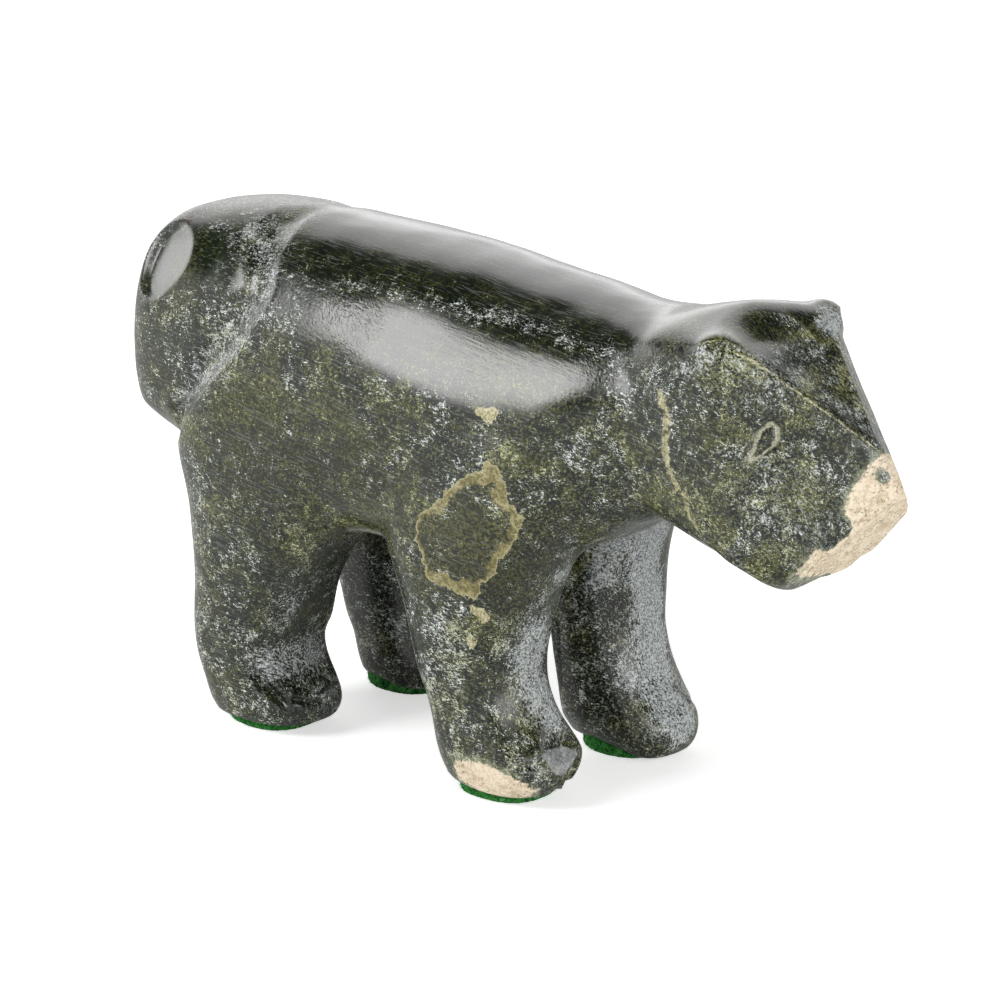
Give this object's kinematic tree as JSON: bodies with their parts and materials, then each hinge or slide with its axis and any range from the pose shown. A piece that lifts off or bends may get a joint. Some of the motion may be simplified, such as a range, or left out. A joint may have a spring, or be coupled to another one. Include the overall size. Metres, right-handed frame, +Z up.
{
  "type": "soapstone bear carving",
  "caption": "Standing bear carved from one block of dark green soapstone, with flat faceted head, broad tail flap and green felt pads under its feet.",
  "frame": {"origin": "on the table, under the middle of the carving's bounding box", "axes": "+X from tail to nose, +Y to the bear's left, +Z up"},
  "size_m": [0.1806, 0.0596, 0.1023],
  "materials": {
    "soapstone": "satin",
    "felt": "matte"
  },
  "bodies": {
    "root": {"bear": "soapstone", "felt_pad_right_hind": "felt", "felt_pad_left_hind": "felt", "felt_pad_right_fore": "felt", "felt_pad_left_fore": "felt"}
  },
  "joints": []
}
